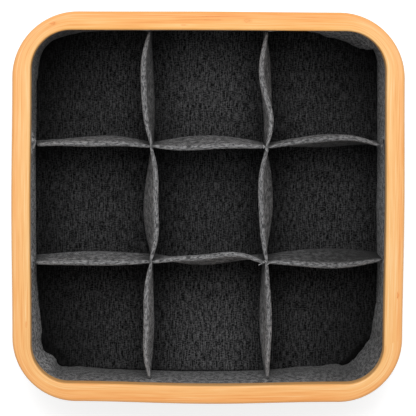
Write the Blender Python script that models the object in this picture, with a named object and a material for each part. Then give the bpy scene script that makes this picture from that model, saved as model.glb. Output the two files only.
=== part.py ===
# Drawer organizer: a cloth box of nine open cells, hung in a bent bamboo rim.
# Metres, +Z up. The origin is the middle of the underside, +X is the right side, +Y the back.

import math

import bmesh
import bpy

# Overall size
overall_width = 0.320
overall_depth = 0.320
overall_height = 0.100
back_corner_radius = 0.0535
front_corner_radius = 0.0522
side_bow = 0.0008
back_bow = 0.0003
front_bow = 0.0019
bend_squeeze_share = 0.40

# Bamboo rim, laminated from three bent plies
outer_ply_thickness = 0.0048
middle_ply_thickness = 0.0048
inner_ply_thickness = 0.0048
glue_line = 0.0003
rim_height = 0.023
rebate_height = 0.005
outer_edge_radius = 0.0028
inner_edge_radius = 0.0018

# Cloth, card and the gap that two pieces keep where they touch
cloth_thickness = 0.0009
wall_board_thickness = 0.0015
base_board_thickness = 0.0022
contact_gap = 0.0003

# Walls and base
board_side_margin = 0.006
board_top_margin = 0.0008
floor_edge_gap = 0.0005

# Staples that hold the cloth in the rebate of the rim
staple_width = 0.010
staple_wire = 0.0007
staple_bite = 0.0034
staple_share = 0.62
cut_overrun = 0.0002

# Dividers, each one strip of cloth folded double with the fold on top
cell_pitch_x = 0.0954
cell_pitch_y = 0.0954
grid_shift_x = 0.0010
grid_shift_y = 0.0018
divider_top_drop = 0.0087
divider_fold_width = 0.0044
divider_top_sag = 0.0012
seam_land = 0.0020

# How each span of a divider hangs, front to back or left to right, in shares of the cell pitch:
# bow of the top fold, swing of the top fold, bow of the foot, swelling of the two plies.
column_hang_shares = {
    "left": [(-0.029, 0.000, 0.021, 0.016), (0.042, 0.000, -0.052, 0.018), (-0.070, 0.009, 0.025, 0.010)],
    "right": [(0.021, 0.000, -0.031, 0.016), (-0.053, 0.007, 0.052, 0.018), (-0.019, 0.044, 0.047, 0.012)],
}
row_hang_shares = {
    "front": [(0.009, 0.000, 0.016, 0.016), (0.047, -0.015, -0.021, 0.024), (-0.038, 0.000, 0.021, 0.021)],
    "back": [(0.017, 0.000, 0.028, 0.010), (-0.008, -0.012, 0.029, 0.010), (0.066, -0.019, -0.010, 0.040)],
}

# Steps of the curves
corner_steps = 10
side_steps = 6
edge_steps = 3
span_steps = 8
ply_steps = 4
fold_steps = 4

# Places that follow from the sizes above
sides = ("right", "back", "left", "front")
end_corner_radius = {
    "right": back_corner_radius,
    "back": back_corner_radius,
    "left": front_corner_radius,
    "front": front_corner_radius,
}
bow = {"right": side_bow, "back": back_bow, "left": side_bow, "front": front_bow}
rim_bottom = overall_height - rim_height
wall_top = rim_bottom + rebate_height - contact_gap
middle_ply_outer = outer_ply_thickness + glue_line
middle_ply_inner = middle_ply_outer + middle_ply_thickness
inner_ply_outer = middle_ply_inner + glue_line
rim_band = inner_ply_outer + inner_ply_thickness
outer_cloth_outer = middle_ply_inner + contact_gap
outer_cloth_inner = outer_cloth_outer + cloth_thickness
board_outer = outer_cloth_inner + contact_gap
board_inner = board_outer + wall_board_thickness
lining_outer = board_inner + contact_gap
lining_inner = lining_outer + cloth_thickness
wall_foot = cloth_thickness + contact_gap
base_board_top = wall_foot + base_board_thickness
floor_top = base_board_top + contact_gap + cloth_thickness
divider_foot = floor_top + contact_gap
divider_top = wall_top - divider_top_drop
ply_offset = (cloth_thickness + contact_gap) / 2
pinched_half = ply_offset + cloth_thickness / 2
fold_offset = (divider_fold_width - cloth_thickness) / 2


def clear_scene():
    for scene_object in list(bpy.data.objects):
        bpy.data.objects.remove(scene_object)


def make_material(name, color, roughness, metallic):
    material = bpy.data.materials.new(name)
    material.use_nodes = True
    shader = material.node_tree.nodes["Principled BSDF"]
    shader.inputs["Base Color"].default_value = (*color, 1)
    shader.inputs["Roughness"].default_value = roughness
    shader.inputs["Metallic"].default_value = metallic
    material.diffuse_color = (*color, 1)
    return material


def bamboo(name, color=(0.80, 0.46, 0.19)):
    return make_material(name, color, 0.42, 0)


def heather_cloth(name):
    return make_material(name, (0.10, 0.10, 0.105), 0.95, 0)


def linen_cloth(name):
    return make_material(name, (0.018, 0.018, 0.019), 0.95, 0)


def greyboard(name):
    return make_material(name, (0.30, 0.28, 0.25), 0.90, 0)


def staple_steel(name):
    return make_material(name, (0.62, 0.62, 0.63), 0.35, 1)


def add_object(name, bm, make_finish, smooth_angle=30):
    mesh = bpy.data.meshes.new(name)
    bm.to_mesh(mesh)
    bm.free()
    mesh.shade_smooth()
    mesh.set_sharp_from_angle(angle=math.radians(smooth_angle))
    mesh.materials.append(make_finish(name))
    piece = bpy.data.objects.new(name, mesh)
    bpy.context.scene.collection.objects.link(piece)
    piece.parent = organizer
    return piece


# The outline of the rim, drawn anticlockwise from above. Each side bows out a little between
# its two corners. An inset moves the whole outline inwards from the outer face of the rim. The
# layers are squeezed thinner at the bends, so an inset takes more off a corner's radius.

def side_directions(side):
    turn = math.radians(90) * sides.index(side)
    outward = (round(math.cos(turn)), round(math.sin(turn)))
    along = (-outward[1], outward[0])
    return outward, along


def corner_reach(side):
    # How far out a side lies where it runs into its two corners, before it bows.
    size = overall_width if side in ("right", "left") else overall_depth
    return size / 2 - bow[side]


def radius_at(side, inset):
    return end_corner_radius[side] - inset * (1 + bend_squeeze_share)


def side_run(side, inset=0):
    previous = sides[sides.index(side) - 1]
    following = sides[(sides.index(side) + 1) % len(sides)]
    start = radius_at(previous, inset) + inset - corner_reach(previous)
    end = corner_reach(following) - inset - radius_at(side, inset)
    return start, end


def on_side(side, outward_distance, along_distance):
    outward, along = side_directions(side)
    x = outward[0] * outward_distance + along[0] * along_distance
    y = outward[1] * outward_distance + along[1] * along_distance
    return x, y


def side_reach(side, along_distance, inset):
    # How far the inset outline reaches out at one place along a side, corners included.
    start, end = side_run(side, inset)
    base = corner_reach(side) - inset
    if start <= along_distance <= end:
        share = (2 * along_distance - start - end) / (end - start)
        return base + bow[side] * math.cos(math.pi / 2 * share) ** 2
    previous = sides[sides.index(side) - 1]
    radius = radius_at(side if along_distance > end else previous, inset)
    past = along_distance - end if along_distance > end else start - along_distance
    return base - radius + math.sqrt(max(radius ** 2 - past ** 2, 0))


def outline(inset):
    points = []
    for side in sides:
        start, end = side_run(side, inset)
        for step in range(side_steps):
            along_distance = start + (end - start) * step / side_steps
            points.append(on_side(side, side_reach(side, along_distance, inset), along_distance))
        radius = radius_at(side, inset)
        centre_out = corner_reach(side) - inset - radius
        for step in range(corner_steps):
            turn = math.radians(90) * step / corner_steps
            reach_out = centre_out + radius * math.cos(turn)
            reach_along = end + radius * math.sin(turn)
            points.append(on_side(side, reach_out, reach_along))
    return points


def sweep_round(name, section, make_finish, capped=False):
    # A section of (inset, height) points carried round the outline, as a ring or a capped plate.
    bm = bmesh.new()
    loops = [[bm.verts.new((x, y, height)) for x, y in outline(inset)] for inset, height in section]
    pairs = list(zip(loops, loops[1:])) if capped else list(zip(loops, loops[1:] + loops[:1]))
    for loop, following in pairs:
        for corner in range(len(loop)):
            before = corner - 1
            bm.faces.new((loop[before], loop[corner], following[corner], following[before]))
    if capped:
        bm.faces.new(loops[0])
        bm.faces.new(loops[-1])
    bmesh.ops.recalc_face_normals(bm, faces=bm.faces)
    return add_object(name, bm, make_finish)


def rounded_corner(inset, height, radius, inset_side, height_side, first_turn):
    # The points of one corner of a section. The two side signs point from the corner into the
    # section, and first_turn says whether the arc starts on the level face or on the upright one.
    if radius == 0:
        return [(inset, height)]
    points = []
    for step in range(edge_steps + 1):
        turn = math.radians(90) * step / edge_steps
        level, upright = (math.sin(turn), math.cos(turn)) if first_turn == "level" else (
            math.cos(turn), math.sin(turn))
        points.append((
            inset + inset_side * radius * (1 - level),
            height + height_side * radius * (1 - upright),
        ))
    return points


def ply_section(outer, inner, low, high, outer_radius, inner_radius):
    return (
        rounded_corner(outer, low, outer_radius, 1, 1, "level")
        + rounded_corner(outer, high, outer_radius, 1, -1, "upright")
        + rounded_corner(inner, high, inner_radius, -1, -1, "level")
        + rounded_corner(inner, low, inner_radius, -1, 1, "upright")
    )


def build_rim():
    sweep_round(
        "rim_outer_ply",
        ply_section(0, outer_ply_thickness, rim_bottom, overall_height, outer_edge_radius, 0),
        bamboo,
    )
    middle_ply = sweep_round(
        "rim_middle_ply",
        ply_section(middle_ply_outer, middle_ply_inner, rim_bottom, overall_height, 0, 0),
        bamboo,
    )
    sweep_round(
        "rim_inner_ply",
        ply_section(inner_ply_outer, rim_band, rim_bottom + rebate_height, overall_height,
                    0, inner_edge_radius),
        bamboo,
    )
    return middle_ply


def build_wall_cloths():
    outer_cloth = sweep_round(
        "outer_wall_cloth",
        ply_section(outer_cloth_outer, outer_cloth_inner, wall_foot, wall_top, 0, 0),
        heather_cloth,
    )
    sweep_round(
        "wall_lining_cloth",
        ply_section(lining_outer, lining_inner, wall_foot, wall_top, 0, 0),
        heather_cloth,
    )
    return outer_cloth


def extrude_up(bm, outline_points, low, high):
    corners = [bm.verts.new((x, y, low)) for x, y in outline_points]
    face = bm.faces.new(corners)
    raised = bmesh.ops.extrude_face_region(bm, geom=[face])
    raised_verts = [item for item in raised["geom"] if isinstance(item, bmesh.types.BMVert)]
    bmesh.ops.translate(bm, verts=raised_verts, vec=(0, 0, high - low))


def build_wall_board(side):
    start, end = side_run(side)
    first = start + board_side_margin
    last = end - board_side_margin
    stops = [first + (last - first) * step / side_steps for step in range(side_steps + 1)]
    outer_row = [on_side(side, side_reach(side, stop, board_outer), stop) for stop in stops]
    inner_row = [on_side(side, side_reach(side, stop, board_inner), stop) for stop in stops]
    bm = bmesh.new()
    extrude_up(bm, outer_row + inner_row[::-1], wall_foot, rim_bottom - board_top_margin)
    bmesh.ops.recalc_face_normals(bm, faces=bm.faces)
    add_object(f"wall_board_{side}", bm, greyboard)


def build_base():
    sweep_round(
        "bottom_cloth",
        [(outer_cloth_outer, 0), (outer_cloth_outer, cloth_thickness)],
        heather_cloth,
        capped=True,
    )
    wrap_outer = lining_inner + floor_edge_gap
    wrap_inner = wrap_outer + cloth_thickness
    board_edge = wrap_inner + contact_gap
    sweep_round(
        "base_board",
        [(board_edge, wall_foot), (board_edge, base_board_top)],
        greyboard,
        capped=True,
    )
    sweep_round(
        "floor_cloth",
        [
            (wrap_outer, floor_top),
            (wrap_outer, wall_foot),
            (wrap_inner, wall_foot),
            (wrap_inner, base_board_top + contact_gap),
        ],
        linen_cloth,
        capped=True,
    )


# Staples: the crown lies inside the outer cloth, and two legs go out into the middle ply.

crown_outer = outer_cloth_inner + contact_gap
crown_inner = crown_outer + staple_wire
staple_tip = middle_ply_inner - staple_bite
staple_low = (rim_bottom + wall_top - staple_wire) / 2
staple_high = staple_low + staple_wire


def staple_places():
    for side in sides:
        start, end = side_run(side)
        for number, share in enumerate((-staple_share, 0, staple_share), start=1):
            along_distance = (start + end) / 2 + (end - start) / 2 * share
            yield side, number, along_distance


def staple_outline(side, along_distance, profile):
    # Profile points are (along the side, inset from the rim's outer face).
    reach = side_reach(side, along_distance, 0)
    return [on_side(side, reach - inset, along_distance + along) for along, inset in profile]


def build_staples(pierced):
    half = staple_width / 2
    shank = half - staple_wire
    staple_profile = [
        (-half, crown_inner), (half, crown_inner), (half, staple_tip), (shank, staple_tip),
        (shank, crown_outer), (-shank, crown_outer), (-shank, staple_tip), (-half, staple_tip),
    ]
    holes = bmesh.new()
    for side, number, along_distance in staple_places():
        bm = bmesh.new()
        extrude_up(bm, staple_outline(side, along_distance, staple_profile), staple_low, staple_high)
        bmesh.ops.recalc_face_normals(bm, faces=bm.faces)
        add_object(f"rim_staple_{side}_{number}", bm, staple_steel)
        for leg in (-1, 1):
            near = leg * (shank - contact_gap)
            far = leg * (half + contact_gap)
            hole_profile = [
                (near, outer_cloth_inner + cut_overrun), (far, outer_cloth_inner + cut_overrun),
                (far, staple_tip - contact_gap), (near, staple_tip - contact_gap),
            ]
            hole_outline = staple_outline(side, along_distance, hole_profile)
            extrude_up(holes, hole_outline, staple_low - contact_gap, staple_high + contact_gap)
    bmesh.ops.recalc_face_normals(holes, faces=holes.faces)
    cutter = add_object("staple_hole_guide", holes, staple_steel)
    cutter.hide_render = True
    cutter.display_type = "WIRE"
    for piece in pierced:
        cut = piece.modifiers.new("staple_holes", "BOOLEAN")
        cut.operation = "DIFFERENCE"
        cut.solver = "EXACT"
        cut.object = cutter


# Dividers. A strip runs along X or Y, pinched flat at each seam, and between two seams
# its top fold bows one way, its foot another, and its two plies swell apart.

def span_stations(start, end):
    first = start + seam_land
    last = end - seam_land
    inner = [(first + (last - first) * step / span_steps, step / span_steps)
             for step in range(span_steps + 1)]
    return [(start, 0)] + inner + [(end, 1)]


def strip_stations(spans):
    # One list of (place, share of the span, hang of the span) for the whole strip.
    stations = []
    for start, end, hang in spans:
        following = [(place, share, hang) for place, share in span_stations(start, end)]
        stations += following[1:] if stations else following
    return stations


def ply_section_points(share, hang, pitch):
    # The folded strip cut across at one station: (sideways, height) points, foot to fold to foot.
    top_bow, top_swing, foot_bow, swelling = hang
    wave = math.sin(math.pi * share)
    ripple = math.sin(2 * math.pi * share)
    fullness = math.sqrt(max(wave, 0))
    fold = ply_offset + (fold_offset - ply_offset) * fullness
    top = divider_top - divider_top_sag * wave
    fold_foot = top - fold
    half_section = []
    for step in range(ply_steps + 1):
        rise = step / ply_steps
        swell = swelling * pitch * wave * math.sin(math.pi * rise)
        half_width = ply_offset + swell + (fold - ply_offset) * rise ** 3
        half_section.append((half_width, divider_foot + (fold_foot - divider_foot) * rise))
    arc = []
    for step in range(1, fold_steps):
        turn = math.pi * step / fold_steps
        arc.append((-fold * math.cos(turn), fold_foot + fold * math.sin(turn)))
    section = [(-width, height) for width, height in half_section] + arc + half_section[::-1]
    points = []
    for sideways, height in section:
        rise = (height - divider_foot) / (divider_top - divider_foot)
        ease = rise * rise * (3 - 2 * rise)
        foot_lean = foot_bow * wave
        top_lean = top_bow * wave + top_swing * ripple
        points.append((sideways + pitch * (foot_lean + (top_lean - foot_lean) * ease), height))
    return points


def build_divider(name, axis, offset, spans, pitch):
    stations = strip_stations(spans)
    sections = [ply_section_points(share, hang, pitch) for _, share, hang in stations]
    columns = len(stations) - 1
    rows = len(sections[0]) - 1
    bm = bmesh.new()
    bmesh.ops.create_grid(bm, x_segments=columns, y_segments=rows, size=1)
    for vert in bm.verts:
        column = round((vert.co.x + 1) / 2 * columns)
        row = round((vert.co.y + 1) / 2 * rows)
        place = stations[column][0]
        sideways, height = sections[column][row]
        if axis == "y":
            vert.co = (offset + sideways, place, height)
        else:
            vert.co = (place, offset + sideways, height)
    divider = add_object(name, bm, heather_cloth, smooth_angle=60)
    cloth = divider.modifiers.new("cloth", "SOLIDIFY")
    cloth.thickness = cloth_thickness
    cloth.offset = 0
    cloth.use_even_offset = True
    return divider


def build_dividers():
    # The grid is sewn in a little off the middle of the rim, towards the back right.
    column_offsets = {"left": grid_shift_x - cell_pitch_x / 2, "right": grid_shift_x + cell_pitch_x / 2}
    row_offsets = {"front": grid_shift_y - cell_pitch_y / 2, "back": grid_shift_y + cell_pitch_y / 2}
    wall_gap_inset = lining_inner + contact_gap
    for column, offset in column_offsets.items():
        front_end = -side_reach("front", offset, wall_gap_inset)
        back_end = side_reach("back", -offset, wall_gap_inset)
        stops = [front_end, row_offsets["front"], row_offsets["back"], back_end]
        spans = list(zip(stops, stops[1:], column_hang_shares[column]))
        build_divider(f"column_divider_{column}", "y", offset, spans, cell_pitch_y)
    for row, offset in row_offsets.items():
        left_end = -side_reach("left", -offset, wall_gap_inset)
        right_end = side_reach("right", offset, wall_gap_inset)
        seam_gap = pinched_half + contact_gap
        ends = {
            "left": (left_end, column_offsets["left"] - seam_gap),
            "middle": (column_offsets["left"] + seam_gap, column_offsets["right"] - seam_gap),
            "right": (column_offsets["right"] + seam_gap, right_end),
        }
        for (cell, (start, end)), hang in zip(ends.items(), row_hang_shares[row]):
            spans = [(start, end, hang)]
            build_divider(f"row_divider_{row}_{cell}", "x", offset, spans, cell_pitch_x)


clear_scene()
organizer = bpy.data.objects.new("drawer_organizer", None)
bpy.context.scene.collection.objects.link(organizer)
middle_ply = build_rim()
outer_cloth = build_wall_cloths()
for board_side in sides:
    build_wall_board(board_side)
build_base()
build_staples([middle_ply, outer_cloth])
build_dividers()
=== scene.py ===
# Drawer organizer: a soft cloth box of nine cells, hung in a bent bamboo rim.
# Metres, +Z up, +X the right side, +Y the back. Every piece is made in its own place.
import math

import bmesh
import bpy
from mathutils import Matrix, Vector, noise


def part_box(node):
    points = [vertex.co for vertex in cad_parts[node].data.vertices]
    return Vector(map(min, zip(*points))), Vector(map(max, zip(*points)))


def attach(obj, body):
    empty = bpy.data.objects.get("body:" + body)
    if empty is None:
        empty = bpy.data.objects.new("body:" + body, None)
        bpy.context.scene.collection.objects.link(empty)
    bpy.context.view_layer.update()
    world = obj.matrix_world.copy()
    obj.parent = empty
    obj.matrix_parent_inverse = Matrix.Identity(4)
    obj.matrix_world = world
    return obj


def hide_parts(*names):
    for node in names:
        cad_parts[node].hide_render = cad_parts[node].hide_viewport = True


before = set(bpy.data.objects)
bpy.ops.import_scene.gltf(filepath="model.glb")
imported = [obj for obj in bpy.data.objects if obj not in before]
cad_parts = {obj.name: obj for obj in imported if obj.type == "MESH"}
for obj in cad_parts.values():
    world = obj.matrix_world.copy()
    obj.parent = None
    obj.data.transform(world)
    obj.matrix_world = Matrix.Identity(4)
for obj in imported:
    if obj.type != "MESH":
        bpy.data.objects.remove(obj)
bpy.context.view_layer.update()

body = "root"
mm = 0.001
up = Vector((0, 0, 1))


# Camera, looking down into the box from a little behind and left of its middle

view = {
    "place": (-0.0183, 0.1451, 2.1666),
    "turn": (-0.06975, -0.0085, 0.0048),  # radians about X, Y and Z
    "lens": 220.6,
    "sensor": 36,
}


def makeCamera():
    data = bpy.data.cameras.new("photoCamera")
    data.lens = view["lens"]
    data.sensor_width = view["sensor"]
    camera = bpy.data.objects.new("photoCamera", data)
    camera.location = view["place"]
    camera.rotation_euler = view["turn"]
    bpy.context.scene.collection.objects.link(camera)
    bpy.context.scene.camera = camera


# Small helpers for nodes

def feed(tree, socket, value):
    # A socket takes either a link or a plain value.
    if isinstance(value, bpy.types.NodeSocket):
        tree.links.new(value, socket)
    else:
        socket.default_value = value


def addNode(tree, kind, inputs=None, **settings):
    made = tree.nodes.new(kind)
    for setting, value in settings.items():
        setattr(made, setting, value)
    for socket, value in (inputs or {}).items():
        feed(tree, made.inputs[socket], value)
    return made


def calc(tree, operation, first, second=0.0, third=0.0):
    inputs = {0: first, 1: second}
    if operation == "MULTIPLY_ADD":
        inputs[2] = third
    return addNode(tree, "ShaderNodeMath", inputs, operation=operation).outputs[0]


def blendColors(tree, factor, first, second, kind="MIX"):
    inputs = {0: factor, 6: first, 7: second}
    return addNode(tree, "ShaderNodeMix", inputs, data_type="RGBA", blend_type=kind).outputs[2]


def shadeColor(tree, color, level):
    tone = addNode(tree, "ShaderNodeCombineColor", {0: level, 1: level, 2: level}).outputs[0]
    return blendColors(tree, 1.0, color, tone, "MULTIPLY")


def fromTo(tree, value, low, high, newLow=0.0, newHigh=1.0, smooth=True):
    inputs = {0: value, 1: low, 2: high, 3: newLow, 4: newHigh}
    made = addNode(tree, "ShaderNodeMapRange", inputs)
    if smooth:
        made.interpolation_type = "SMOOTHSTEP"
    return made.outputs[0]


def splitPlace(tree, place):
    return addNode(tree, "ShaderNodeSeparateXYZ", {0: place}).outputs


def joinPlace(tree, x, y, z):
    return addNode(tree, "ShaderNodeCombineXYZ", {0: x, 1: y, 2: z}).outputs[0]


def noiseAt(tree, place, scale=1.0, detail=1.0, roughness=0.5):
    inputs = {"Vector": place, "Scale": scale, "Detail": detail, "Roughness": roughness}
    return addNode(tree, "ShaderNodeTexNoise", inputs).outputs["Fac"]


def stretched(tree, place, scales, shift=(0, 0, 0)):
    inputs = {"Vector": place, "Scale": scales, "Location": shift}
    return addNode(tree, "ShaderNodeMapping", inputs).outputs[0]


def newGroup(name, inputs, outputs):
    tree = bpy.data.node_groups.new(name, "ShaderNodeTree")
    for sockets, way in ((inputs, "INPUT"), (outputs, "OUTPUT")):
        for label, kind in sockets:
            tree.interface.new_socket(name=label, in_out=way, socket_type="NodeSocket" + kind)
    source = tree.nodes.new("NodeGroupInput")
    target = tree.nodes.new("NodeGroupOutput")
    return tree, source.outputs, target.inputs


def useGroup(tree, group, inputs):
    made = tree.nodes.new("ShaderNodeGroup")
    made.node_tree = group
    for socket, value in inputs.items():
        feed(tree, made.inputs[socket], value)
    return made.outputs


def newMaterial(name, roughness, metallic=0.0, specular=0.5):
    material = bpy.data.materials.new(name)
    material.use_nodes = True
    tree = material.node_tree
    shader = tree.nodes["Principled BSDF"]
    shader.inputs["Roughness"].default_value = roughness
    shader.inputs["Metallic"].default_value = metallic
    shader.inputs["Specular IOR Level"].default_value = specular
    where = tree.nodes.new("ShaderNodeTexCoord").outputs
    return material, tree, shader, where


def addBump(tree, shader, height, distance, strength):
    inputs = {"Height": height, "Distance": distance, "Strength": strength}
    tree.links.new(addNode(tree, "ShaderNodeBump", inputs).outputs[0], shader.inputs["Normal"])


# Shader groups

weave = {
    "streakLayer": 9.1,  # keeps the streaks' noise apart from the flecks'
    "roughness": 0.6,
    "gapReach": 0.6,  # how far up a thread's round back the painted shade of the gaps goes
    "gapShade": 0.55,
}


def makeYarnGroup():
    # Plain weave of slubbed yarn: half of it shows dark and light flecks, half long weft streaks.
    tree, given, out = newGroup(
        "wovenYarn",
        [("Place", "Vector"), ("Thread Pitch", "Float"), ("Fleck Place", "Vector"),
         ("Fleck Softness", "Float"), ("Streak Width", "Float"), ("Streak Length", "Float"),
         ("Streak Softness", "Float"), ("Rarity", "Float"), ("Dark", "Color"), ("Light", "Color")],
        [("Color", "Color"), ("Height", "Float")],
    )
    apart = splitPlace(tree, given["Place"])
    across = calc(tree, "DIVIDE", apart[0], given["Thread Pitch"])
    along = calc(tree, "DIVIDE", apart[1], given["Thread Pitch"])
    threads = calc(tree, "ADD", calc(tree, "FLOOR", across), calc(tree, "FLOOR", along))
    warpOver = calc(tree, "PINGPONG", threads, 1.0)
    warpRound, weftRound = (
        calc(tree, "SINE", calc(tree, "MULTIPLY", calc(tree, "FRACT", count), math.pi))
        for count in (across, along))
    streakPlace = joinPlace(tree, calc(tree, "DIVIDE", apart[1], given["Streak Width"]),
                            calc(tree, "DIVIDE", apart[0], given["Streak Length"]),
                            weave["streakLayer"])
    middle = calc(tree, "ADD", 0.5, given["Rarity"])  # at 0.5, half of the noise is light
    tones = []
    for place, label in ((given["Fleck Place"], "Fleck"), (streakPlace, "Streak")):
        low = calc(tree, "SUBTRACT", middle, given[f"{label} Softness"])
        high = calc(tree, "ADD", middle, given[f"{label} Softness"])
        tones.append(fromTo(tree, noiseAt(tree, place, roughness=weave["roughness"]), low, high))
    tone = addNode(tree, "ShaderNodeMix", {0: warpOver, 2: tones[1], 3: tones[0]}).outputs[0]
    color = blendColors(tree, tone, given["Dark"], given["Light"])
    # painted shade in the gaps between the threads
    bulge = calc(tree, "MULTIPLY", warpRound, weftRound)
    depth = fromTo(tree, bulge, 0.0, weave["gapReach"], weave["gapShade"], 1.0)
    tree.links.new(shadeColor(tree, color, depth), out["Color"])
    tree.links.new(bulge, out["Height"])
    return tree


# Three layers of grain, each with how often it changes, where its noise starts and its share
bambooGrain = {
    "layers": [
        ((30, 2600, 1), (0, 0, 0), 0.20),
        ((24, 950, 1), (3, 5, 2), 0.50),
        ((9, 190, 1), (9, 1, 4), 0.30),
    ],
    "darkBelow": 0.37,
    "middleAt": 0.50,
    "lightAbove": 0.63,
}


def makeGrainGroup():
    # Bamboo strip: long fine fibres with broad soft bands of tone.
    tree, given, out = newGroup(
        "bambooGrain",
        [("Place", "Vector"), ("Dark", "Color"), ("Middle", "Color"), ("Light", "Color"),
         ("Seed", "Float")],
        [("Color", "Color"), ("Height", "Float")],
    )
    apart = splitPlace(tree, given["Place"])
    place = joinPlace(tree, apart[0], apart[1], given["Seed"])
    mixed = 0.0
    for often, shift, share in bambooGrain["layers"]:
        layer = noiseAt(tree, stretched(tree, place, often, shift), detail=2.0)
        mixed = calc(tree, "MULTIPLY_ADD", layer, share, mixed)
    middle = bambooGrain["middleAt"]
    darkPart = fromTo(tree, mixed, bambooGrain["darkBelow"], middle, 1.0, 0.0)
    lightPart = fromTo(tree, mixed, middle, bambooGrain["lightAbove"])
    color = blendColors(tree, darkPart, given["Middle"], given["Dark"])
    color = blendColors(tree, lightPart, color, given["Light"])
    tree.links.new(color, out["Color"])
    tree.links.new(mixed, out["Height"])
    return tree


bambooKnot = {
    "edgeScale": 420.0,
    "edgeDepth": 0.9,
    "fade": (0.25, 1.0),
    "lineAt": 0.42,  # the darker line inside the mark, as a share of its reach
    "lineEdges": (0.02, 0.14),
}


def makeKnotGroup():
    # Soft mark where a strip crosses one of the stem's joints, round a point seen from above.
    tree, given, out = newGroup(
        "bambooKnot",
        [("Place", "Vector"), ("Middle", "Vector"), ("Scale", "Vector")],
        [("Mask", "Float"), ("Line", "Float")],
    )
    scaled = given["Place"]
    for operation, label in (("SUBTRACT", "Middle"), ("MULTIPLY", "Scale")):
        scaled = addNode(tree, "ShaderNodeVectorMath", {0: scaled, 1: given[label]},
                         operation=operation).outputs[0]
    away = addNode(tree, "ShaderNodeVectorMath", {0: scaled}, operation="LENGTH").outputs["Value"]
    edge = noiseAt(tree, given["Place"], bambooKnot["edgeScale"], 2.0)
    depth = bambooKnot["edgeDepth"]
    uneven = calc(tree, "MULTIPLY_ADD", edge, depth, calc(tree, "SUBTRACT", away, depth / 2))
    tree.links.new(fromTo(tree, uneven, *bambooKnot["fade"], 1.0, 0.0), out["Mask"])
    fromLine = calc(tree, "ABSOLUTE", calc(tree, "SUBTRACT", uneven, bambooKnot["lineAt"]))
    tree.links.new(fromTo(tree, fromLine, *bambooKnot["lineEdges"], 1.0, 0.0), out["Line"])
    return tree


fibreFleck = {
    "coarseShare": 0.6,
    "coarseDetail": (4.0, 0.7),
    "longStretch": (1, 0.18, 0.5),
    "tones": (0.38, 0.62),
}


def makeFleckGroup():
    # Short fibres or scratches pressed in every direction, for board and wire.
    tree, given, out = newGroup(
        "fibreFleck",
        [("Place", "Vector"), ("Scale", "Float"), ("Dark", "Color"), ("Light", "Color")],
        [("Color", "Color"), ("Height", "Float")],
    )
    coarse = noiseAt(tree, given["Place"], given["Scale"], *fibreFleck["coarseDetail"])
    longPlace = stretched(tree, given["Place"], fibreFleck["longStretch"])
    longer = calc(tree, "MULTIPLY", noiseAt(tree, longPlace, given["Scale"], 2.0),
                  1 - fibreFleck["coarseShare"])
    mixed = calc(tree, "MULTIPLY_ADD", coarse, fibreFleck["coarseShare"], longer)
    tone = fromTo(tree, mixed, *fibreFleck["tones"])
    tree.links.new(blendColors(tree, tone, given["Dark"], given["Light"]), out["Color"])
    tree.links.new(mixed, out["Height"])
    return tree


# Finishes

def grey(level, blue):
    return level, level, blue, 1


# Sizes in metres: pitch of the threads, fleck and streak as they lie on the piece, bump
cloths = {
    "heather": {
        "pitch": 0.00050, "fleckOn": "Object", "fleck": (0.0013, 0.0013, 0.0050),
        "fleckSoftness": 0.08, "streak": (0.0012, 0.0060), "streakSoftness": 0.08, "rarity": 0.0,
        "dark": grey(0.018, 0.020), "light": grey(0.325, 0.332), "sheen": 0.11, "bump": 0.00012,
    },
    # the wall lining's heather, which carries painted light and shade
    "lining": {
        "pitch": 0.00050, "fleckOn": "UV", "fleck": (0.0034, 0.0080, 1.0),
        "fleckSoftness": 0.036, "streak": (0.0012, 0.0060), "streakSoftness": 0.10, "rarity": 0.0,
        "dark": grey(0.010, 0.012), "light": grey(0.345, 0.352), "sheen": 0.11, "bump": 0.00012,
        "shade": "walls",
    },
    "divider": {
        "pitch": 0.00050, "fleckOn": "fleckMap", "fleck": (1.0, 1.0, 1.0),
        "fleckSoftness": 0.09, "streak": (0.0006, 0.0045), "streakSoftness": 0.12, "rarity": 0.0,
        "dark": grey(0.060, 0.062), "light": grey(0.350, 0.356), "sheen": 0.04, "bump": 0.00012,
        "shade": "paintedShading",
    },
    "darkLinen": {
        "pitch": 0.00050, "fleckOn": "UV", "fleck": (0.00076, 0.0085, 1.0),
        "fleckSoftness": 0.06, "streak": (0.00090, 0.0026), "streakSoftness": 0.14, "rarity": 0.035,
        "dark": grey(0.002, 0.0024), "light": grey(0.122, 0.125), "sheen": 0.0, "bump": 0.00010,
        "shade": "cells",
    },
}
clothFinish = {"roughness": 0.92, "specular": 0.12, "sheenRoughness": 0.5, "bumpStrength": 0.6}


# Painted light and shade, put into the cloths' colour so that they are lighter or darker from place to
# place

wallPaintedShading = {
    # how much painted shade or painted light, as shares of the full tone
    "footMiddle": 0.50,  # painted shade towards the foot of the front wall, in its middle cell
    "footOuter": 0.85,
    "footSides": 0.25,
    # painted light on the left and right walls, painted shade in the front right and back left corners
    "leftWall": 0.62,
    "rightWall": 0.08,
    "frontRightCorner": 0.42,
    "backLeftCorner": 0.52,
    # how soon the painted shade of the foot fades upwards, on the front wall and on all of them
    "footPower": 0.7,
    "sidesPower": 1.5,
    # where each shade begins and where it is full, and the corners by x less y
    "frontAt": (-0.130, -0.142),
    "leftAt": (-0.125, -0.142),
    "rightAt": (0.125, 0.142),
    "outerCellsAt": (0.040, 0.060),
    "frontRightAt": (0.225, 0.255),
    "backLeftAt": (-0.200, -0.240),
}


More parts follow.
